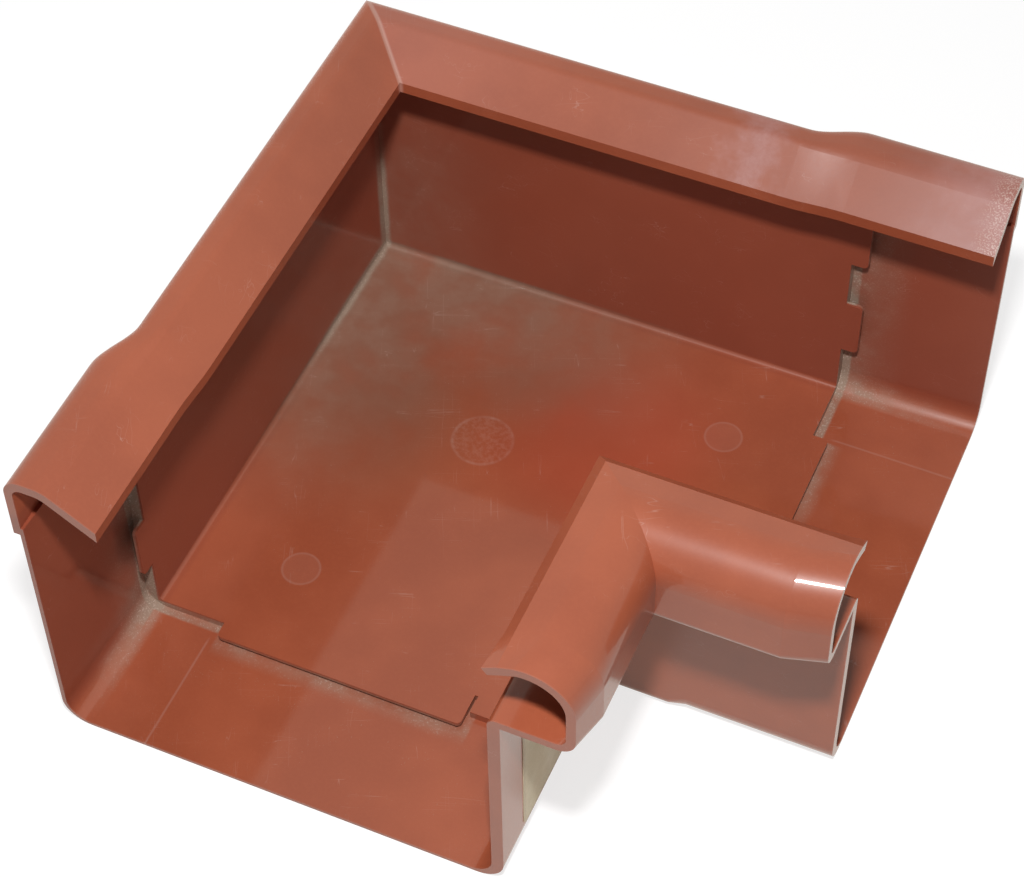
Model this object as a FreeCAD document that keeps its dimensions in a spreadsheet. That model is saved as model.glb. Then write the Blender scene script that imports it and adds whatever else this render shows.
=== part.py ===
# Box gutter inside corner, one injection-moulded piece.
#
# Each arm is built along +X and the corner is completed by mirroring the arm
# across the vertical plane of the mitre. Section coordinates are given as
# "across", measured from the outer face of the back wall towards the bead,
# and as height above the underside of the trough.
import FreeCAD, Part
import Sketcher
import math
import os

NODE = "gutter_inside_corner"

# Half of the right angle between the arms
MITRE_TURN = -45.0


class Size:
    """A number together with the cell expression that drives it."""

    def __init__(self, value, text):
        self.value = float(value)
        self.text = text

    def __add__(self, other):
        other = as_size(other)
        return Size(self.value + other.value, "(%s + %s)" % (self.text, other.text))

    def __sub__(self, other):
        other = as_size(other)
        return Size(self.value - other.value, "(%s - %s)" % (self.text, other.text))

    def __rsub__(self, other):
        return as_size(other) - self

    def __neg__(self):
        return Size(-self.value, "(-1 * %s)" % self.text)

    def __mul__(self, other):
        other = as_size(other)
        return Size(self.value * other.value, "(%s * %s)" % (self.text, other.text))

    def __truediv__(self, other):
        other = as_size(other)
        return Size(self.value / other.value, "(%s / %s)" % (self.text, other.text))

    def root(self):
        """Square root."""
        return Size(math.sqrt(self.value), "sqrt(%s)" % self.text)


def as_size(item):
    """Wrap a plain number as a Size."""
    return item if isinstance(item, Size) else Size(item, repr(item))


doc = FreeCAD.newDocument("gutter_inside_corner")
sheet = doc.addObject("Spreadsheet::Sheet", "dims")

# Driving sizes in millimetres
DIMENSIONS = [
    ("inside_width", 100.0, "clear width of the trough between the walls"),
    ("back_wall", 2.2, "thickness of the back wall"),
    ("front_wall", 2.8, "thickness of the front wall"),
    ("floor_wall", 2.4, "thickness of the floor"),
    ("arm_length", 160.0, "back corner to the mouth of each arm"),
    ("lip_height", 85.0, "underside of the trough to the top of the lip"),
    ("inner_bend", 1.2, "inner radius between floor and walls"),
    ("outer_bend", 3.4, "outer radius between floor and walls"),
    ("socket_inner_bend", 5.6, "inner radius between floor and walls of the socket"),
    ("socket_outer_bend", 6.7, "outer radius between floor and walls of the socket"),
    ("socket_length", 35.0, "stop edge to the mouth"),
    ("back_joggle", 3.3, "outward step of the back wall at the socket"),
    ("floor_joggle", 0.7, "downward step of the underside at the socket"),
    ("joggle_run", 4.0, "length of the wall's outward step"),
    ("back_recess", 3.2, "depth of the back wall's stop edge"),
    ("floor_recess", 2.1, "depth of the floor's stop edge"),
    ("mouth_draft", 1.3, "widening of the socket from the stop to the mouth"),
    ("mouth_drop", 0.25, "deepening of the socket floor to the mouth"),
    ("tab_length", 4.0, "projection of the tabs beyond the stop edge"),
    ("tab_wall", 1.1, "thickness of the tabs"),
    ("wall_tab_low", 16.5, "lower edge of the small wall tab"),
    ("wall_tab_high", 32.5, "upper edge of the small wall tab"),
    ("top_tab_low", 46.5, "lower edge of the tab under the lip"),
    ("top_tab_drop", 16.0, "top of the lip down to the tab under it"),
    ("floor_tab_start", 19.1, "start of the floor tab"),
    ("floor_tab_end", 80.5, "end of the floor tab"),
    ("tab_corner", 1.2, "corner radius of the tabs"),
    ("relief_width", 0.8, "width of the relief slot beside the floor tab"),
    ("relief_depth", 4.6, "depth of the relief slot beside the floor tab"),
    ("strip_end", 6.2, "outer face to the fold of the lip"),
    ("strip_wall", 2.4, "thickness of the flat strip on top of the wall"),
    ("fold_bend", 3.0, "outer radius of the fold between strip and lip"),
    ("mouth_fold_bend", 7.0, "outer radius of that fold at the mouth"),
    ("lip_reach", 16.4, "outer face to the free edge of the lip"),
    ("lip_drop", 8.1, "fall of the lip from the fold to the free edge"),
    ("lip_wall", 2.9, "height of the lip's free edge"),
    ("hook_bend", 3.0, "outer radius where the wall turns into the lip"),
    ("hook_inner_bend", 1.6, "inner radius where the wall turns into the lip"),
    ("skirt_drop", 18.0, "top of the lip down to the skirt's lower edge"),
    ("skirt_out", 4.85, "outward offset of the lip's skirt at the socket"),
    ("skirt_wall", 1.95, "thickness of the skirt"),
    ("flare_run", 14.0, "length of the lip's outward sweep"),
    ("mouth_strip_end", 4.4, "outer face to the fold at the mouth"),
    ("mouth_lip_reach", 15.9, "outer face to the free edge at the mouth"),
    ("mouth_lip_drop", 7.8, "fall of the lip at the mouth"),
    ("mouth_bend", 4.4, "outer radius of the lip at the mouth"),
    ("mouth_inner_bend", 2.5, "inner radius of the lip at the mouth"),
    ("bead_drop", 2.5, "top of the lip down to the top of the bead"),
    ("bead_depth", 23.1, "top of the bead down to its underside"),
    ("bead_out", 18.4, "front wall's outer face to the bead's outermost point"),
    ("bead_crown_radius", 10.7, "radius over the top of the bead"),
    ("bead_foot_radius", 3.0, "radius at the bead's lower outer corner"),
    ("bead_end_radius", 4.5, "radius at the lower outer corner at the bead's end"),
    ("bead_wall", 2.1, "thickness of the bead"),
    ("bead_rim_in", 2.7, "bead's free edge inward of the outer face"),
    ("bead_rim_drop", 3.6, "top of the bead down to its free edge"),
    ("bead_fold_in", 0.4, "fold behind the free edge inward of the outer face"),
    ("bead_fold_drop", 1.7, "top of the bead down to the fold behind the free edge"),
    ("crown_turn", 14.0, "degrees the crown runs on past the top"),
    ("bead_taper_run", 9.5, "length of the tapered end of the bead"),
    ("bead_taper_in", 2.0, "inward taper of the bead at its end"),
    ("bead_stub", 5.4, "depth of the wall strip that carries the bead"),
    ("wing_reach", 0.9, "extra inward reach of the rim at the bead's end"),
    ("overlap", 1.0, "how far joined features reach into each other"),
]

values = {}
for row, (name, value, note) in enumerate(DIMENSIONS, start=1):
    sheet.set("A%d" % row, note)
    sheet.set("B%d" % row, str(value))
    sheet.setAlias("B%d" % row, name)
    values[name] = Size(value, "dims.%s" % name)
doc.recompute()


def size(name):
    """The named driving size."""
    return values[name]


back_wall = size("back_wall")
front_wall = size("front_wall")
floor_wall = size("floor_wall")
arm_length = size("arm_length")
lip_height = size("lip_height")
floor_joggle = size("floor_joggle")
back_joggle = size("back_joggle")
outer_width = back_wall + size("inside_width") + front_wall
inner_back = back_wall
inner_front = back_wall + size("inside_width")
socket_back = back_wall - size("back_recess")
socket_floor = floor_wall - size("floor_recess")
stop_at = arm_length - size("socket_length")
skirt_low = lip_height - size("skirt_drop")
bead_top = lip_height - size("bead_drop")
bead_under = bead_top - size("bead_depth")
bead_rim = bead_top - size("bead_rim_drop")
bead_fold = bead_top - size("bead_fold_drop")

# Distance of the outer back corner from the centre of the whole footprint
corner_offset = (arm_length - size("skirt_out")) / 2

body = doc.addObject("PartDesign::Body", NODE)
body.Label = NODE


def origin_plane(role):
    """One of the body's own origin planes."""
    for item in body.Origin.OriginFeatures:
        if item.Role == role:
            return item
    raise RuntimeError("no plane " + role)


def section_sketch(name, along):
    """A sketch across the arm at a distance from the outer back corner.

    Its horizontal axis is the part's Y and its vertical axis is the part's Z.
    """
    sketch = doc.addObject("Sketcher::SketchObject", name)
    body.addObject(sketch)
    sketch.AttachmentSupport = [(origin_plane("YZ_Plane"), "")]
    sketch.MapMode = "FlatFace"
    sketch.setExpression("AttachmentOffset.Base.z", (along - corner_offset).text)
    return sketch


def plan_sketch(name, height):
    """A sketch seen from above at a height over the resting plane."""
    sketch = doc.addObject("Sketcher::SketchObject", name)
    body.addObject(sketch)
    sketch.AttachmentSupport = [(origin_plane("XY_Plane"), "")]
    sketch.MapMode = "FlatFace"
    sketch.setExpression("AttachmentOffset.Base.z", height.text)
    return sketch


def arc_through(start, end, radius, left):
    """The arc of a radius from start to end, turning left or right."""
    chord = end - start
    half = chord.Length / 2
    rise = math.sqrt(max(radius * radius - half * half, 0.0))
    middle = (start + end) * 0.5
    normal = FreeCAD.Vector(-chord.y, chord.x, 0).normalize()
    centre = middle + normal * (rise if left else -rise)
    first = math.atan2(start.y - centre.y, start.x - centre.x)
    last = math.atan2(end.y - centre.y, end.x - centre.x)
    circle = Part.Circle(centre, FreeCAD.Vector(0, 0, 1), radius)
    if left:
        return Part.ArcOfCircle(circle, first, last), True
    return Part.ArcOfCircle(circle, last, first), False


def draw(sketch, points, arcs=None):
    """Draw a closed outline whose corners and radii follow the cells.

    Each point is a pair of Size values. arcs maps the index of an edge to
    its radius and to whether it turns left.
    """
    arcs = arcs or {}
    places = [FreeCAD.Vector(h.value, v.value, 0) for h, v in points]
    count = len(points)
    starts = []
    for index in range(count):
        here = places[index]
        there = places[(index + 1) % count]
        if index in arcs:
            radius, left = arcs[index]
            edge, forward = arc_through(here, there, radius.value, left)
        else:
            edge = Part.LineSegment(here, there)
            forward = True
        sketch.addGeometry(edge, False)
        starts.append((1, 2) if forward else (2, 1))
    for index in range(count):
        after = (index + 1) % count
        sketch.addConstraint(Sketcher.Constraint(
            "Coincident", index, starts[index][1], after, starts[after][0]))
    for index, (h, v) in enumerate(points):
        for kind, item in (("DistanceX", h), ("DistanceY", v)):
            number = sketch.addConstraint(Sketcher.Constraint(
                kind, -1, 1, index, starts[index][0], item.value))
            label = "p%d%s" % (index, kind[-1].lower())
            sketch.renameConstraint(number, label)
            sketch.setExpression("Constraints." + label, item.text)
    for index, (radius, left) in arcs.items():
        number = sketch.addConstraint(Sketcher.Constraint("Radius", index, radius.value))
        label = "r%d" % index
        sketch.renameConstraint(number, label)
        sketch.setExpression("Constraints." + label, radius.text)
    doc.recompute()
    return sketch


def across(distance):
    """Section position from the outer face of the back wall."""
    return corner_offset - distance


def height(level):
    """Section height from the underside of the trough."""
    return level + floor_joggle


def section(name, along, outline, arcs):
    """Draw an outline given as (across, height) pairs.

    The part's Y runs against "across", so each arc turns the other way in
    the sketch than it does in the outline.
    """
    sketch = section_sketch(name, along)
    turned = {index: (radius, not left) for index, (radius, left) in arcs.items()}
    return draw(sketch, [(across(a), height(b)) for a, b in outline], turned)


def pad(name, sketch, length):
    """Extrude a section along the arm."""
    feature = body.newObject("PartDesign::Pad", name)
    feature.Profile = sketch
    feature.setExpression("Length", length.text)
    feature.Refine = False
    doc.recompute()
    return feature


def loft(kind, name, sections, ruled):
    """Loft through sections, adding or removing material."""
    feature = body.newObject("PartDesign::" + kind, name)
    feature.Profile = sections[0]
    feature.Sections = sections[1:]
    feature.Ruled = ruled
    feature.Refine = False
    doc.recompute()
    return feature


def trough_outline(back, under, bend, top_back, top_front):
    """Filled outer outline of the trough."""
    points = [
        (back, top_back),
        (back, under + bend),
        (back + bend, under),
        (outer_width - bend, under),
        (outer_width, under + bend),
        (outer_width, top_front),
    ]
    arcs = {1: (bend, True), 3: (bend, True)}
    return points, arcs


def room_outline(back, floor, bend, top):
    """Outline of the space inside the trough, open above."""
    points = [
        (back, top),
        (back, floor + bend),
        (back + bend, floor),
        (inner_front - bend, floor),
        (inner_front, floor + bend),
        (inner_front, top),
    ]
    arcs = {1: (bend, True), 3: (bend, True)}
    return points, arcs


zero = Size(0.0, "0")
wall_top = skirt_low + back_wall
front_top = bead_under

# Trough of the arm, solid first and hollowed afterwards
outline, arcs = trough_outline(zero, zero, size("outer_bend"), wall_top, front_top)
trough_start = section("trough_section", zero, outline, arcs)
joggle_at = stop_at - size("joggle_run")
pad("trough", trough_start, joggle_at)

near = section("joggle_near", joggle_at, outline, arcs)
outline, arcs = trough_outline(-back_joggle, -floor_joggle, size("socket_outer_bend"),
                               wall_top, front_top)
far = section("joggle_far", stop_at, outline, arcs)
loft("AdditiveLoft", "joggle", [near, far], True)

socket = section("socket_section", stop_at, outline, arcs)
pad("socket", socket, size("socket_length"))

# Hollow of the trough and of the socket
room_top = lip_height + floor_wall
outline, arcs = room_outline(inner_back, floor_wall, size("inner_bend"), room_top)
room = section("room_section", zero, outline, arcs)
hollow = body.newObject("PartDesign::Pocket", "room")
hollow.Profile = room
hollow.setExpression("Length", stop_at.text)
hollow.Reversed = True
doc.recompute()

outline, arcs = room_outline(socket_back, socket_floor, size("socket_inner_bend"), room_top)
socket_near = section("socket_room_near", stop_at, outline, arcs)
outline, arcs = room_outline(socket_back - size("mouth_draft"),
                             socket_floor - size("mouth_drop"),
                             size("socket_inner_bend"), room_top)
socket_far = section("socket_room_far", arm_length, outline, arcs)
loft("SubtractiveLoft", "socket_room", [socket_near, socket_far], True)


def hook_outline(out, inner, strip, reach, drop, bend, inner_bend, fold_bend):
    """Section of the wall top that turns over into the sloping lip."""
    slope = drop / (reach - strip)
    steep = (slope * slope + 1).root()
    under_top = lip_height - size("strip_wall")
    lip_low = lip_height - drop - size("lip_wall")
    inner_fold = reach - (under_top - lip_low) / slope
    fold = fold_bend * (steep - 1) / slope
    tuck = (fold_bend - size("strip_wall")) * (steep - 1) / slope
    points = [
        (out, skirt_low),
        (inner, skirt_low),
        (inner, under_top - inner_bend),
        (inner + inner_bend, under_top),
        (inner_fold - tuck, under_top),
        (inner_fold + tuck / steep, under_top - tuck * slope / steep),
        (reach, lip_low),
        (reach, lip_height - drop),
        (strip + fold / steep, lip_height - fold * slope / steep),
        (strip - fold, lip_height),
        (out + bend, lip_height),
        (out, lip_height - bend),
    ]
    arcs = {
        2: (inner_bend, False),
        4: (fold_bend - size("strip_wall"), False),
        8: (fold_bend, True),
        10: (bend, True),
    }
    return points, arcs


def between(first, last, share):
    """The size a share of the way from first to last."""
    return first + (last - first) * Size(share, repr(share))


def hook_at(share):
    """Lip section between the plain arm and the socket."""
    return hook_outline(
        between(zero, -size("skirt_out"), share),
        between(back_wall, size("skirt_wall") - size("skirt_out"), share),
        between(size("strip_end"), size("mouth_strip_end"), share),
        between(size("lip_reach"), size("mouth_lip_reach"), share),
        between(size("lip_drop"), size("mouth_lip_drop"), share),
        between(size("hook_bend"), size("mouth_bend"), share),
        between(size("hook_inner_bend"), size("mouth_inner_bend"), share),
        between(size("fold_bend"), size("mouth_fold_bend"), share))


# Lip of the arm, its outward sweep and the lip of the socket
flare_at = stop_at - size("flare_run")
outline, arcs = hook_at(0.0)
pad("lip", section("lip_section", zero, outline, arcs), flare_at)
sweep = []
for share, part_way in ((0.0, 0.0), (0.14, 0.25), (0.5, 0.5), (0.86, 0.75), (1.0, 1.0)):
    outline, arcs = hook_at(share)
    along = flare_at + size("flare_run") * Size(part_way, repr(part_way))
    sweep.append(section("lip_sweep_%d" % int(100 * part_way), along, outline, arcs))
loft("AdditiveLoft", "lip_sweep", sweep, False)
outline, arcs = hook_at(1.0)
pad("mouth_lip", section("mouth_lip_section", stop_at, outline, arcs), size("socket_length"))


def bead_outline(taper_in, foot, wing):
    """Open rolled section on top of the front wall."""
    wall = size("bead_wall")
    under = bead_under
    out = outer_width + size("bead_out") - taper_in
    crown = size("bead_crown_radius")
    top = bead_top
    turn = math.radians(size("crown_turn").value)
    sine = Size(math.sin(turn), "sin(dims.crown_turn * 1 deg)")
    cosine = Size(math.cos(turn), "cos(dims.crown_turn * 1 deg)")
    centre_a = out - crown
    centre_h = top - crown
    fold_a = outer_width - size("bead_fold_in")
    rim_a = outer_width - size("bead_rim_in") - wing
    inner_crown = crown - wall
    points = [
        (inner_front, under - size("bead_stub")),
        (outer_width, under - size("bead_stub")),
        (outer_width, under),
        (out - foot, under),
        (out, under + foot),
        (out, centre_h),
        (centre_a, top),
        (centre_a - crown * sine, centre_h + crown * cosine),
        (fold_a, bead_fold),
        (rim_a, bead_rim),
        (rim_a + wall * 0.6, bead_rim - wall * 0.8),
        (fold_a + wall * 0.45, bead_fold - wall),
        (centre_a - inner_crown * sine, centre_h + inner_crown * cosine),
        (centre_a, top - wall),
        (out - wall, centre_h),
        (out - wall, under + foot),
        (out - foot, under + wall),
        (inner_front + wall, under + wall),
        (inner_front, under),
    ]
    inner_foot = foot - wall
    arcs = {
        3: (foot, True),
        5: (crown, True),
        6: (crown, True),
        12: (inner_crown, False),
        13: (inner_crown, False),
        15: (inner_foot, False),
        17: (wall, True),
    }
    return points, arcs


# Open bead along the front wall, narrowed at the end of the arm
taper_at = arm_length - size("bead_taper_run")
outline, arcs = bead_outline(zero, size("bead_foot_radius"), zero)
pad("bead", section("bead_section", zero, outline, arcs), taper_at)
bead_near = section("bead_taper_near", taper_at, outline, arcs)
outline, arcs = bead_outline(size("bead_taper_in"), size("bead_end_radius"), size("wing_reach"))
bead_far = section("bead_taper_far", arm_length, outline, arcs)
loft("AdditiveLoft", "bead_taper", [bead_near, bead_far], True)



def standing_tab(name, low, high):
    """A tab on the back wall that stands out beyond the stop edge."""
    sketch = doc.addObject("Sketcher::SketchObject", name + "_outline")
    body.addObject(sketch)
    sketch.AttachmentSupport = [(origin_plane("XZ_Plane"), "")]
    sketch.MapMode = "FlatFace"
    tab_face = back_wall - size("tab_wall")
    sketch.setExpression("AttachmentOffset.Base.z", (tab_face - corner_offset).text)
    bend = size("tab_corner")
    root = stop_at - size("overlap") - corner_offset
    tip = stop_at + size("tab_length") - corner_offset
    points = [
        (root, height(low)),
        (tip - bend, height(low)),
        (tip, height(low) + bend),
        (tip, height(high) - bend),
        (tip - bend, height(high)),
        (root, height(high)),
    ]
    draw(sketch, points, {1: (bend, True), 3: (bend, True)})
    pad(name, sketch, size("tab_wall"))


# Tabs that guide the gutter's end, two on the back wall and one on the floor
standing_tab("wall_tab", size("wall_tab_low"), size("wall_tab_high"))
standing_tab("top_tab", size("top_tab_low"), lip_height - size("top_tab_drop"))

bend = size("tab_corner")
root = stop_at - size("overlap") - corner_offset
tip = stop_at + size("tab_length") - corner_offset
start = across(size("floor_tab_start"))
end = across(size("floor_tab_end"))
floor_tab = plan_sketch("floor_tab_outline", height(floor_wall - size("tab_wall")))
draw(floor_tab, [
    (root, end),
    (tip - bend, end),
    (tip, end + bend),
    (tip, start - bend),
    (tip - bend, start),
    (root, start),
], {1: (bend, True), 3: (bend, True)})
pad("floor_tab", floor_tab, size("tab_wall"))

# Relief slot in the floor beside the tab
slot_root = stop_at - size("relief_depth") - corner_offset
slot_tip = stop_at + size("overlap") - corner_offset
slot = plan_sketch("relief_outline", height(floor_wall + size("overlap")))
draw(slot, [
    (slot_root, end - size("relief_width")),
    (slot_tip, end - size("relief_width")),
    (slot_tip, end),
    (slot_root, end),
])
relief = body.newObject("PartDesign::Pocket", "relief")
relief.Profile = slot
relief.setExpression("Length", (size("floor_recess") + size("overlap")).text)
doc.recompute()

# Mitre through the corner, then the second arm as the mirror of the first
clear_top = lip_height + floor_wall
mitre_line = plan_sketch("mitre_line", height(clear_top))
draw(mitre_line, [
    (-arm_length, arm_length),
    (-arm_length, -arm_length),
    (arm_length, -arm_length),
])
mitre = body.newObject("PartDesign::Pocket", "mitre")
mitre.Profile = mitre_line
mitre.setExpression("Length", (height(clear_top) + floor_wall).text)
doc.recompute()

mirror_plane = body.newObject("PartDesign::Plane", "mirror_plane")
mirror_plane.AttachmentSupport = [(origin_plane("XZ_Plane"), "")]
mirror_plane.MapMode = "FlatFace"
mirror_plane.AttachmentOffset = FreeCAD.Placement(
    FreeCAD.Vector(0, 0, 0), FreeCAD.Rotation(FreeCAD.Vector(0, 1, 0), MITRE_TURN))
doc.recompute()

arm_volume = body.Shape.Volume
both = body.newObject("PartDesign::Mirrored", "both_arms")
both.TransformMode = "Whole shape"
both.MirrorPlane = (mirror_plane, [""])
body.Tip = both
doc.recompute()

for item in doc.Objects:
    if "Invalid" in item.State or "Error" in item.State:
        raise RuntimeError("%s is %s: %s" % (item.Name, item.State, item.getStatusString()))
if body.Shape.isNull() or not body.Shape.isValid() or len(body.Shape.Solids) != 1:
    raise RuntimeError("the corner is not one valid solid")
if abs(body.Shape.Volume - 2 * arm_volume) > 0.001 * arm_volume:
    raise RuntimeError("the second arm does not match the first")
print("volume %.0f mm3" % body.Shape.Volume)

os.makedirs("parts", exist_ok=True)
body.Shape.exportStep("parts/%s.step" % NODE)
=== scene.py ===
"""Looks of a brown moulded gutter inside corner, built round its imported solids.

Lengths are in metres in the part's frame. Patterns are worked out in
millimetres along and across an arm, so both arms share them.
"""

import math

import bpy
import numpy as np
from mathutils import Matrix, Vector


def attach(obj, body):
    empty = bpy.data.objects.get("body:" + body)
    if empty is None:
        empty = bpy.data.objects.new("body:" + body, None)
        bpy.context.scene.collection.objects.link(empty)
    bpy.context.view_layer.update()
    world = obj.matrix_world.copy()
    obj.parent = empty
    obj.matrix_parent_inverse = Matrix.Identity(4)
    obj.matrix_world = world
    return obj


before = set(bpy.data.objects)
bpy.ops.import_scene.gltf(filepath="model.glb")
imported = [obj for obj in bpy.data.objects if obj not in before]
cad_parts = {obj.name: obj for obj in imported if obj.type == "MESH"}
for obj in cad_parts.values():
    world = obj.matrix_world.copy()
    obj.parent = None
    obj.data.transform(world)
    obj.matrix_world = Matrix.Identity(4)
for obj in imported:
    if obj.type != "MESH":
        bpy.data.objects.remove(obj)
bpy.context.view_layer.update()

NODE = "gutter_inside_corner"
MILLIMETRES = 1000.0

# Lengths of the moulding in millimetres: outer back corner and underside of the trough
# from the part's origin, stop edge and mouth along an arm, and inner face of the left wall
CORNER = 77.575
LIFT = 0.7
STOP = 125.0
MOUTH = 160.0
LEFT_WALL_FACE = 75.4
FLOOR_TOP = 2.4


# Arithmetic on shader values

class Field:
    """A value over the surface; arithmetic on it adds Math nodes."""

    def __init__(self, shader, socket):
        self.shader = shader
        self.socket = socket

    def math(self, operation, *others):
        """A Math node of this value and others."""
        values = dict(enumerate((self, *others)))
        return self.shader.node("ShaderNodeMath", {"operation": operation}, values)

    def __add__(self, other):
        return self.math("ADD", other)

    __radd__ = __add__

    def __sub__(self, other):
        return self.math("SUBTRACT", other)

    def __rsub__(self, other):
        return self.shader.number(other).math("SUBTRACT", self)

    def __mul__(self, other):
        return self.math("MULTIPLY", other)

    __rmul__ = __mul__

    def __neg__(self):
        return self.math("MULTIPLY", -1.0)

    def __abs__(self):
        return self.math("ABSOLUTE")

    def high(self, other):
        """The larger of two values."""
        return self.math("MAXIMUM", other)

    def low(self, other):
        """The smaller of two values."""
        return self.math("MINIMUM", other)

    def ramp(self, start, end):
        """Smooth step from 0 at start to 1 at end; start may be the larger."""
        if start > end:
            return 1.0 - self.ramp(end, start)
        values = {"Value": self, "From Min": start, "From Max": end}
        settings = {"interpolation_type": "SMOOTHSTEP", "clamp": True}
        return self.shader.node("ShaderNodeMapRange", settings, values, output="Result")

    def band(self, low, high, soft):
        """1 between low and high, falling to 0 over soft outside them."""
        return self.ramp(low - soft, low) * self.ramp(high + soft, high)

    def near(self, centre, width):
        """1 at centre, falling smoothly to 0 at width either side."""
        return abs(self - centre).ramp(width, 0.0)


class Shader:
    """Builds one material's nodes."""

    def __init__(self, name):
        self.material = bpy.data.materials.new(name)
        self.material.use_nodes = True
        self.tree = self.material.node_tree
        self.bsdf = self.tree.nodes["Principled BSDF"]

    def node(self, kind, settings=None, values=None, output=0):
        """Adds a node, sets it up, feeds its sockets and returns one output."""
        made = self.tree.nodes.new(kind)
        for key, item in (settings or {}).items():
            setattr(made, key, item)
        for key, item in (values or {}).items():
            self.feed(made.inputs[key], item)
        return Field(self, made.outputs[output])

    def feed(self, socket, item):
        """Links a Field to a socket or writes a plain value on it."""
        if isinstance(item, Field):
            self.tree.links.new(item.socket, socket)
        elif socket.type == "RGBA":
            socket.default_value = (*item, 1.0)
        else:
            socket.default_value = item

    def number(self, value):
        """A constant as a Field."""
        made = self.tree.nodes.new("ShaderNodeValue")
        made.outputs[0].default_value = value
        return Field(self, made.outputs[0])

    def split(self, vector):
        """The three numbers of a vector."""
        parts = self.tree.nodes.new("ShaderNodeSeparateXYZ")
        self.feed(parts.inputs[0], vector)
        return [Field(self, parts.outputs[i]) for i in range(3)]

    def mix(self, factor, first, second):
        """Colour mix of two colours."""
        settings = {"data_type": "RGBA", "clamp_factor": True}
        values = {0: factor, 6: first, 7: second}
        return self.node("ShaderNodeMix", settings, values, output=2)

    def place(self):
        """Object coordinates in millimetres, as a vector and as three numbers."""
        point = self.node("ShaderNodeTexCoord", output="Object")
        values = {0: point, "Scale": MILLIMETRES}
        vector = self.node("ShaderNodeVectorMath", {"operation": "SCALE"}, values)
        return vector, self.split(vector)

    def vector(self, x, y, z):
        """Three numbers as a vector."""
        return self.node("ShaderNodeCombineXYZ", values={0: x, 1: y, 2: z})

    def noise(self, vector, scale, detail, rough):
        """Fractal noise from 0 to 1, with scale in repeats per millimetre."""
        values = {"Vector": vector, "Scale": scale, "Detail": detail, "Roughness": rough}
        return self.node("ShaderNodeTexNoise", {"noise_dimensions": "3D"}, values)

    def bump(self, height):
        """A Bump node of a height in millimetres."""
        values = {"Height": height, "Strength": 1.0, "Distance": 1.0 / MILLIMETRES}
        return self.node("ShaderNodeBump", None, values)


def srgb(red, green, blue):
    """A colour written as 0 to 255 display values, as linear light."""
    channel = np.array([red, green, blue]) / 255.0
    linear = np.where(channel <= 0.04045, channel / 12.92, ((channel + 0.055) / 1.055) ** 2.4)
    return tuple(float(v) for v in linear)


# Moulded plastic of the corner

PLASTIC_DEEP = srgb(147, 73, 48)
PLASTIC_LIGHT = srgb(158, 81, 54)
RED_REFLECTION = srgb(170, 70, 48)
WALL_PAINTED_SHADE = srgb(116, 52, 41)
LIP_SHADE = srgb(112, 66, 58)
GREY_DUST = srgb(146, 128, 112)
BROWN_GRIME_AND_REFLECTION = srgb(100, 72, 57)
CHALK_AND_HIGHLIGHT = srgb(220, 200, 190)
PINK_CHALK_AND_SHEEN = srgb(196, 172, 176)

# Places of the moulding marks on the trough's floor, as x and y, and their radii
GATE = (-25.8, 25.4)
GATE_RADIUS = 7.4
PINS = ((27.6, 49.4), (-49.1, -26.6))
PIN_RADIUS = 4.5


class Plastic(Shader):
    """The corner's plastic, with places along and across its arms in millimetres."""

    def __init__(self, name):
        super().__init__(name)
        self.vector_mm, (self.x, self.y, z) = self.place()
        self.up = z - LIFT
        self.along = self.x.high(-self.y) + CORNER
        self.across = CORNER - self.y.high(-self.x)
        self.side = self.x + self.y
        self.right = self.side.ramp(-0.4, 0.4)
        self.left = 1.0 - self.right
        face_x, face_y, self.face_up = self.split(self.node("ShaderNodeTexCoord", output="Normal"))
        self.inner = (self.left * face_x - self.right * face_y).ramp(-0.9, -0.5)
        self.upper = self.face_up.ramp(-0.6, -0.1)
        self.low = self.up.ramp(4.6, 3.6)

    def spot(self, place, radius, soft):
        """Distance from a place on the floor, and 1 inside a circle, falling to 0 over soft."""
        off_x = self.x - place[0]
        off_y = self.y - place[1]
        away = (off_x * off_x + off_y * off_y).math("SQRT")
        return away, away.ramp(radius + soft, radius)

    def streaks(self, turn, run, pitch, seed, thin):
        """Fine lines turned about Z: where a stretched noise passes through its middle value."""
        ahead = self.x * math.cos(turn) + self.y * math.sin(turn)
        aside = self.y * math.cos(turn) - self.x * math.sin(turn)
        stretched = self.vector(ahead * run + seed, aside * pitch, self.up * pitch)
        value = self.noise(stretched, 1.0, 2.0, 0.5)
        return value.near(0.5, thin)


def dust_in_corner(s, broken):
    """Grey strip on the left wall, down its upright corner and along its crease with the floor."""
    from_corner = LEFT_WALL_FACE - s.y
    from_floor = s.up - FLOOR_TOP
    nearest = from_corner.low(from_floor)
    strip = nearest.ramp(3.4, 1.6) * (from_corner + from_floor).ramp(58.0, 12.0)
    on_wall = s.x.ramp(-73.4, -74.9) * s.up.ramp(66.0, 40.0) * s.up.ramp(2.0, 2.8)
    return strip * on_wall * s.inner * (0.55 + 0.45 * broken)


def film_by_corner(s, broken):
    """Hazy film on the right back wall and on the floor beside the inner back corner."""
    wall = s.right * s.along.ramp(40.0, 5.0) * s.across.ramp(5.0, 3.0) * s.up.ramp(70.0, 30.0)
    floor = s.across.ramp(50.0, 4.0) * s.along.ramp(105.0, 25.0) * s.low
    return (wall * 0.22 + floor * 0.42) * (0.55 + 0.45 * broken) * s.inner * s.upper


def grime_and_dark_reflection_on_floor(s, cloud):
    """Grey-brown grime and a painted dark reflection of the shadowed back wall, over the inner
    part of the floor, broken into clouds.
    """
    reach = s.along.ramp(98.0, 46.0) * s.across.ramp(60.0, 26.0)
    return reach * s.low * cloud.ramp(0.25, 0.6) * s.upper * s.inner


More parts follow.
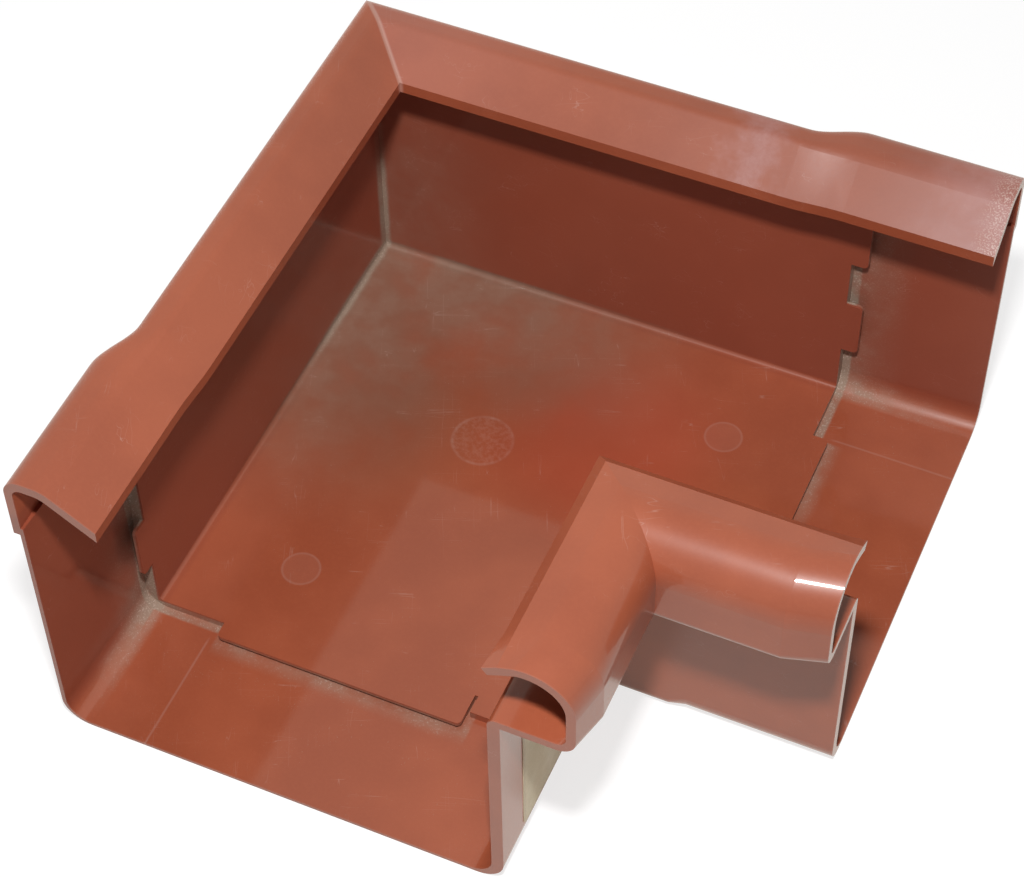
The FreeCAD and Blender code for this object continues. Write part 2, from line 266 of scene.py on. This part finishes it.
def dust_and_glints_at_stop(s, broken):
    """Dust on the socket's stop edge, in its notches, beside the floor's slot and along its
    wall-floor crease; along the crease it also carries painted glints.
    """
    inside = s.across.band(-1.6, 102.0, 0.6) * s.up.ramp(73.0, 70.0) * s.inner * s.upper
    wall_sunk = s.across.ramp(1.9, 1.4)
    floor_sunk = s.up.ramp(2.1, 1.7)
    by_wall = wall_sunk.high(floor_sunk * s.across.ramp(20.0, 18.0))
    step = s.along.band(STOP - 0.6, STOP + 1.6, 0.8) * by_wall
    haze = s.along.ramp(STOP + 16.0, STOP + 2.0) * wall_sunk
    beside = s.along.ramp(STOP + 8.5, STOP + 4.0) * floor_sunk * s.across.band(19.0, 82.0, 1.0)
    # Dust along the socket's wall-floor crease, also the ground for whitish specks that are partly
    # painted glints of its highlight
    crease_dust_and_glints = s.across.band(-1.0, 2.5, 2.0) * s.up.ramp(5.5, 1.5) * s.along.ramp(MOUTH + 4.0, STOP)
    crease_dust_and_glints = crease_dust_and_glints * wall_sunk.high(floor_sunk)
    lying = step * 0.8 + haze * 0.42 + beside * 0.5 + crease_dust_and_glints * 0.45
    return lying * inside * (0.4 + 0.6 * broken)


def brown_plastic():
    """Satin brown plastic with its dust, rubs and moulding marks."""
    s = Plastic("brown_moulded_plastic")
    cloud = s.noise(s.vector_mm, 0.028, 3.0, 0.6)
    patch = s.noise(s.vector_mm, 0.11, 3.0, 0.62)
    fine = s.noise(s.vector_mm, 1.1, 2.0, 0.6)
    grit = s.noise(s.vector_mm, 2.6, 2.0, 0.6)
    broken = patch.ramp(0.32, 0.66)
    specks = grit.ramp(0.66, 0.74) * patch.ramp(0.42, 0.6)

    base = s.mix(cloud.ramp(0.35, 0.65), PLASTIC_DEEP, PLASTIC_LIGHT)
    base = s.mix(fine.ramp(0.35, 0.8) * 0.1, base, srgb(176, 96, 64))
    # Painted shade: the walls' inner faces darkened towards a dark brown
    on_wall = s.across.ramp(5.0, 3.6) * s.up.band(4.0, 72.0, 3.0) * s.inner
    base = s.mix(on_wall * (0.3 + 0.3 * cloud), base, WALL_PAINTED_SHADE)
    # Painted reflection: a soft redder patch on the floor
    red_reflection = s.spot((2.0, 37.0), 8.0, 30.0)[1]
    base = s.mix(red_reflection * s.low * s.upper * 0.5, base, RED_REFLECTION)
    # Grey-brown grime, partly a painted dark reflection of the shadowed back wall
    base = s.mix(grime_and_dark_reflection_on_floor(s, cloud) * 0.55, base, BROWN_GRIME_AND_REFLECTION)

    # Whitened end faces, and a painted highlight along the mitre on the lip
    mouth = s.along.ramp(MOUTH - 0.35, MOUTH - 0.1) * (0.55 + 0.3 * patch)
    on_lip = s.up.ramp(72.0, 75.0)
    # Painted highlight: a pale line along the mitre on the lip
    mitre_highlight = abs(s.side).ramp(1.1, 0.3) * on_lip * s.across.ramp(19.0, 16.0)
    base = s.mix((mouth * 0.07).high(mitre_highlight * 0.26), base, CHALK_AND_HIGHLIGHT)

    # Rubbed places on the right lip, a painted sheen near its mitre and at its end, and a darker
    # tone along its middle and far part
    lip_right = on_lip * s.right * s.across.ramp(19.0, 17.0) * s.face_up.ramp(0.2, 0.5)
    wander = s.along + (patch - 0.5) * 22.0
    scuff = wander.near(102.0, 9.0) * lip_right * (0.35 + 0.65 * fine)
    # Whitish wear with a painted highlight towards the lip's end
    wear_and_sheen_at_end = s.along.ramp(128.0, 162.0) * lip_right * (0.5 + 0.5 * broken)
    # Painted sheen: the lip paler near the mitre
    haze = lip_right * s.along.ramp(70.0, 8.0) * 0.08
    base = s.mix(lip_right * s.along.ramp(40.0, 115.0) * 0.28, base, LIP_SHADE)
    base = s.mix((scuff * 0.3 + wear_and_sheen_at_end * 0.3 + haze).low(0.8), base, PINK_CHALK_AND_SHEEN)
    scraped = s.along.ramp(153.0, 159.0) * lip_right * grit.ramp(0.48, 0.66)
    base = s.mix(scraped * 0.5, base, CHALK_AND_HIGHLIGHT)

    # Moulding marks on the floor
    on_floor = s.up.ramp(4.2, 3.4) * s.up.ramp(1.6, 2.2) * s.upper
    gate_away, gate = s.spot(GATE, GATE_RADIUS, 0.5)
    gate_ring = gate_away.near(GATE_RADIUS, 0.7) * on_floor
    gate_skin = gate * on_floor * fine.ramp(0.35, 0.7)
    base = s.mix(gate_ring * (0.02 + 0.06 * broken) + gate_skin * 0.05, base, CHALK_AND_HIGHLIGHT)
    for pin in PINS:
        away, disc = s.spot(pin, PIN_RADIUS, 0.3)
        pin_mark = away.near(PIN_RADIUS, 0.5) * 0.06 + disc * 0.03
        base = s.mix(pin_mark * on_floor, base, CHALK_AND_HIGHLIGHT)

    # Witness line along each socket's floor
    witness = s.across.near(17.0, 0.45) * s.along.ramp(STOP + 3.0, STOP + 6.0)
    witness = witness * s.up.ramp(3.0, 2.0) * s.upper
    base = s.mix(witness * 0.09, base, CHALK_AND_HIGHLIGHT)

    # Dust
    film = film_by_corner(s, broken)
    settled_dust_and_glints = dust_in_corner(s, broken).high(dust_and_glints_at_stop(s, broken))
    lying = specks * s.face_up.ramp(0.4, 0.9) * s.up.ramp(20.0, 6.0)
    dust = (film + settled_dust_and_glints + lying * 0.5).low(0.92)
    base = s.mix(dust, base, GREY_DUST)
    # Whitish specks on the settled dust; along the socket's crease they are partly painted glints
    base = s.mix(settled_dust_and_glints * grit.ramp(0.55, 0.68) * 0.4, base, CHALK_AND_HIGHLIGHT)

    # Hair-fine scratches
    scratches = (s.streaks(0.35, 0.012, 0.22, 1.7, 0.0035)
                 + s.streaks(-1.15, 0.012, 0.22, 4.9, 0.0035)) * patch.ramp(0.52, 0.64)
    base = s.mix(scratches * 0.12, base, CHALK_AND_HIGHLIGHT)
    s.feed(s.bsdf.inputs["Base Color"], base)

    # Gloss: a satin body under a thin clear skin, both dulled by dust and rubs
    worn = (mouth + scuff + wear_and_sheen_at_end).low(1.0)
    rough = 0.3 + 0.12 * cloud + 0.08 * fine + 0.4 * dust + 0.1 * worn
    s.feed(s.bsdf.inputs["Roughness"], rough.low(0.9))
    s.feed(s.bsdf.inputs["Coat Weight"], (0.62 - 0.6 * dust - 0.3 * scuff).high(0.0))
    s.bsdf.inputs["Coat Roughness"].default_value = 0.07
    s.bsdf.inputs["Coat IOR"].default_value = 1.5
    s.bsdf.inputs["Specular IOR Level"].default_value = 0.3
    s.bsdf.inputs["IOR"].default_value = 1.5

    # Slow waviness and a fine grain, in millimetres
    swell = s.noise(s.vector_mm, 0.05, 1.0, 0.5)
    s.feed(s.bsdf.inputs["Normal"], s.bump(swell * 0.08 + fine * 0.008))
    return s.material


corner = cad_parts[NODE]
corner.data.materials.clear()
corner.data.materials.append(brown_plastic())


# Blank paper label on the outside of the left front wall

# x of the wall's outer face, range in y, range in height above the underside, thickness,
# gap to the wall, ripple and corner radius, in millimetres
WALL_OUTSIDE = 27.425
LABEL_NEAR = -71.6
LABEL_FAR = -33.0
LABEL_LOW = 6.2
LABEL_HIGH = 45.0
LABEL_THICK = 0.14
LABEL_GAP = 0.02
LABEL_RIPPLE = 0.05
LABEL_ROUND = 1.6


def grid_faces(rows, columns):
    """Four corner numbers of each cell of a grid of points, row by row."""
    i, j = np.meshgrid(np.arange(rows - 1), np.arange(columns - 1), indexing="ij")
    first = (i * columns + j).ravel()
    return np.stack([first, first + columns, first + columns + 1, first + 1], axis=1)


def add_piece(name, points, faces):
    """A mesh object of points and faces, linked to the scene."""
    mesh = bpy.data.meshes.new(name)
    mesh.from_pydata(points.tolist(), [], faces.tolist())
    made = bpy.data.objects.new(name, mesh)
    bpy.context.scene.collection.objects.link(made)
    return made


def rounded(y, z, half_y, half_z):
    """Pulls a rectangle's corners in: where a point is past the centre of a corner's circle,
    its distance from that centre is cut to the radius."""
    over_y = np.maximum(np.abs(y) - (half_y - LABEL_ROUND), 0.0)
    over_z = np.maximum(np.abs(z) - (half_z - LABEL_ROUND), 0.0)
    reach = np.hypot(over_y, over_z)
    pull = np.where(reach > LABEL_ROUND, LABEL_ROUND / np.maximum(reach, 1e-9), 1.0)
    new_y = np.sign(y) * (np.minimum(np.abs(y), half_y - LABEL_ROUND) + over_y * pull)
    new_z = np.sign(z) * (np.minimum(np.abs(z), half_z - LABEL_ROUND) + over_z * pull)
    return new_y, new_z


def label_sheet():
    """A closed thin slab: two grids of places (y, z) with rounded corners, one just off the
    wall and one a paper's thickness out plus half the ripple times 1 + sin(0.35 y + 0.2 z),
    joined round their rims."""
    rows, columns = 41, 33
    half_y = (LABEL_FAR - LABEL_NEAR) / 2
    half_z = (LABEL_HIGH - LABEL_LOW) / 2
    grid_y, grid_z = np.meshgrid(np.linspace(-half_y, half_y, rows),
                                 np.linspace(-half_z, half_z, columns), indexing="ij")
    y, z = rounded(grid_y, grid_z, half_y, half_z)
    ripple = LABEL_RIPPLE * (1 + np.sin(y * 0.35 + z * 0.2)) * 0.5
    inner_x = np.full_like(y, WALL_OUTSIDE + LABEL_GAP)
    outer_x = WALL_OUTSIDE + LABEL_THICK + ripple
    centre_y = (LABEL_FAR + LABEL_NEAR) / 2
    centre_z = (LABEL_HIGH + LABEL_LOW) / 2 + LIFT
    layers = [np.stack([x, y + centre_y, z + centre_z], axis=-1).reshape(-1, 3)
              for x in (inner_x, outer_x)]
    points = np.concatenate(layers) / MILLIMETRES
    outside = grid_faces(rows, columns)
    inside = outside[:, ::-1]
    count = rows * columns
    rim = np.concatenate([np.arange(columns - 1),
                          columns - 1 + columns * np.arange(rows - 1),
                          count - 1 - np.arange(columns - 1),
                          columns * np.arange(rows - 1, 0, -1)])
    ahead = np.roll(rim, -1)
    border = np.stack([rim, rim + count, ahead + count, ahead], axis=1)
    faces = np.concatenate([outside + count, inside, border])
    return add_piece("paper_label", points, faces)


def aged_paper():
    """Matt cream paper with fibres, stains and a darker rim of old glue."""
    s = Shader("aged_paper")
    place, (x, y, z) = s.place()
    fibre = s.noise(s.vector(x, y * 3.0, z * 0.8), 1.3, 4.0, 0.65)
    stain = s.noise(place, 0.06, 3.0, 0.6)
    base = s.mix(stain.ramp(0.35, 0.7), srgb(250, 240, 212), srgb(234, 219, 184))
    base = s.mix(fibre.ramp(0.3, 0.75) * 0.25, base, srgb(190, 172, 140))
    near_rim = y.ramp(LABEL_NEAR + 1.6, LABEL_NEAR + 0.3)
    low_rim = (z - LIFT).ramp(LABEL_LOW + 1.4, LABEL_LOW + 0.2)
    base = s.mix(near_rim.high(low_rim) * 0.35 * fibre, base, srgb(140, 116, 84))
    s.feed(s.bsdf.inputs["Base Color"], base)
    s.feed(s.bsdf.inputs["Roughness"], 0.55 + 0.2 * fibre)
    s.feed(s.bsdf.inputs["Normal"], s.bump(fibre * 0.02 + stain * 0.1))
    return s.material


label = label_sheet()
label.data.materials.append(aged_paper())
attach(label, "root")


# Room, lamps and camera

# Light from all round, the colour that gloss sees there, and the floor's own glow, which
# with its lit share comes to white
AMBIENT = 0.1
WARM_ROOM = (0.95, 0.88, 0.78)
FLOOR_GLOW = 0.76


def grey(value):
    """A neutral colour of one strength."""
    return (value, value, value)


def floor_sheet():
    """A flat floor: a grid of places x and y at height 0."""
    span = np.linspace(-3.0, 3.0, 3)
    grid_x, grid_y = np.meshgrid(span, span, indexing="ij")
    points = np.stack([grid_x, grid_y, np.zeros_like(grid_x)], axis=-1).reshape(-1, 3)
    return add_piece("floor", points, grid_faces(3, 3))


def background_rays(s):
    """1 for rays from the camera, and 1 for rays from a glossy surface or glass."""
    rays = s.tree.nodes.new("ShaderNodeLightPath")
    camera, glossy, glass = [Field(s, rays.outputs[kind]) for kind in
                             ("Is Camera Ray", "Is Glossy Ray", "Is Transmission Ray")]
    return camera, glossy.high(glass)


def pale_floor():
    """Pale floor that the camera and gloss see as near white, with the part's shadow on it."""
    s = Shader("pale_floor")
    camera_ray, glossy_ray = background_rays(s)
    base = s.mix(camera_ray.high(glossy_ray), grey(0.55), grey(0.3))
    glow = s.mix(camera_ray, grey(0.0), grey(FLOOR_GLOW))
    glow = s.mix(glossy_ray, glow, tuple(FLOOR_GLOW * channel for channel in WARM_ROOM))
    s.feed(s.bsdf.inputs["Base Color"], base)
    s.feed(s.bsdf.inputs["Emission Color"], glow)
    s.bsdf.inputs["Emission Strength"].default_value = 1.0
    s.bsdf.inputs["Roughness"].default_value = 1.0
    s.bsdf.inputs["Specular IOR Level"].default_value = 0.0
    return s.material


class Surroundings(Shader):
    """Builds the world's nodes."""

    def __init__(self, name):
        self.world = bpy.data.worlds.new(name)
        self.world.use_nodes = True
        self.tree = self.world.node_tree
        self.background = self.tree.nodes["Background"]


def pale_room():
    """Even light all round, seen as white by the camera."""
    s = Surroundings("pale_room")
    camera_ray, glossy_ray = background_rays(s)
    lit = s.mix(camera_ray, grey(AMBIENT), grey(1.0))
    s.feed(s.background.inputs["Color"], s.mix(glossy_ray, lit, WARM_ROOM))
    s.background.inputs["Strength"].default_value = 1.0
    return s.world


floor = floor_sheet()
floor.data.materials.append(pale_floor())
bpy.context.scene.world = pale_room()


def studio_lamp(name, place, aim, width, depth, power):
    """A rectangular lamp that points at the part."""
    lamp = bpy.data.lights.new(name, "AREA")
    lamp.shape = "RECTANGLE"
    lamp.size = width
    lamp.size_y = depth
    lamp.energy = power
    made = bpy.data.objects.new(name, lamp)
    made.location = place
    made.rotation_mode = "QUATERNION"
    made.rotation_quaternion = (Vector(aim) - Vector(place)).to_track_quat("-Z", "Y")
    bpy.context.scene.collection.objects.link(made)
    return made


AIM = (0.0, 0.02, 0.03)
studio_lamp("key", (0.1047, -0.2644, 0.5857), AIM, 0.042, 0.034, 4.0)
back_fill = studio_lamp("back_fill", (-0.55, 0.55, 0.14), AIM, 0.5, 0.25, 3.2)
back_fill.visible_glossy = False

AZIMUTH = math.radians(24.59)
ELEVATION = math.radians(50.93)
ROLL = math.radians(-1.14)
FOCAL_PIXELS = 2695.0
FRAME_WIDTH = 1024
TARGET = Vector((-0.02020, 0.03041, 0.0007))
DISTANCE = 0.6585


def photo_camera():
    """Camera that stands back from the target along azimuth and elevation, then rolls."""
    back = Vector((math.sin(AZIMUTH) * math.cos(ELEVATION),
                   -math.cos(AZIMUTH) * math.cos(ELEVATION),
                   math.sin(ELEVATION)))
    right = Vector((math.cos(AZIMUTH), math.sin(AZIMUTH), 0.0))
    up = back.cross(right)
    right_rolled = math.cos(ROLL) * right + math.sin(ROLL) * up
    up_rolled = -math.sin(ROLL) * right + math.cos(ROLL) * up
    lens = bpy.data.cameras.new("camera")
    lens.sensor_width = 36.0
    lens.lens = FOCAL_PIXELS * lens.sensor_width / FRAME_WIDTH
    lens.clip_start = 0.05
    lens.clip_end = 20.0
    made = bpy.data.objects.new("camera", lens)
    turn = Matrix((right_rolled, up_rolled, back)).transposed().to_4x4()
    made.matrix_world = Matrix.Translation(TARGET + back * DISTANCE) @ turn
    bpy.context.scene.collection.objects.link(made)
    return made


scene = bpy.context.scene
scene.camera = photo_camera()
scene.view_settings.view_transform = "Standard"
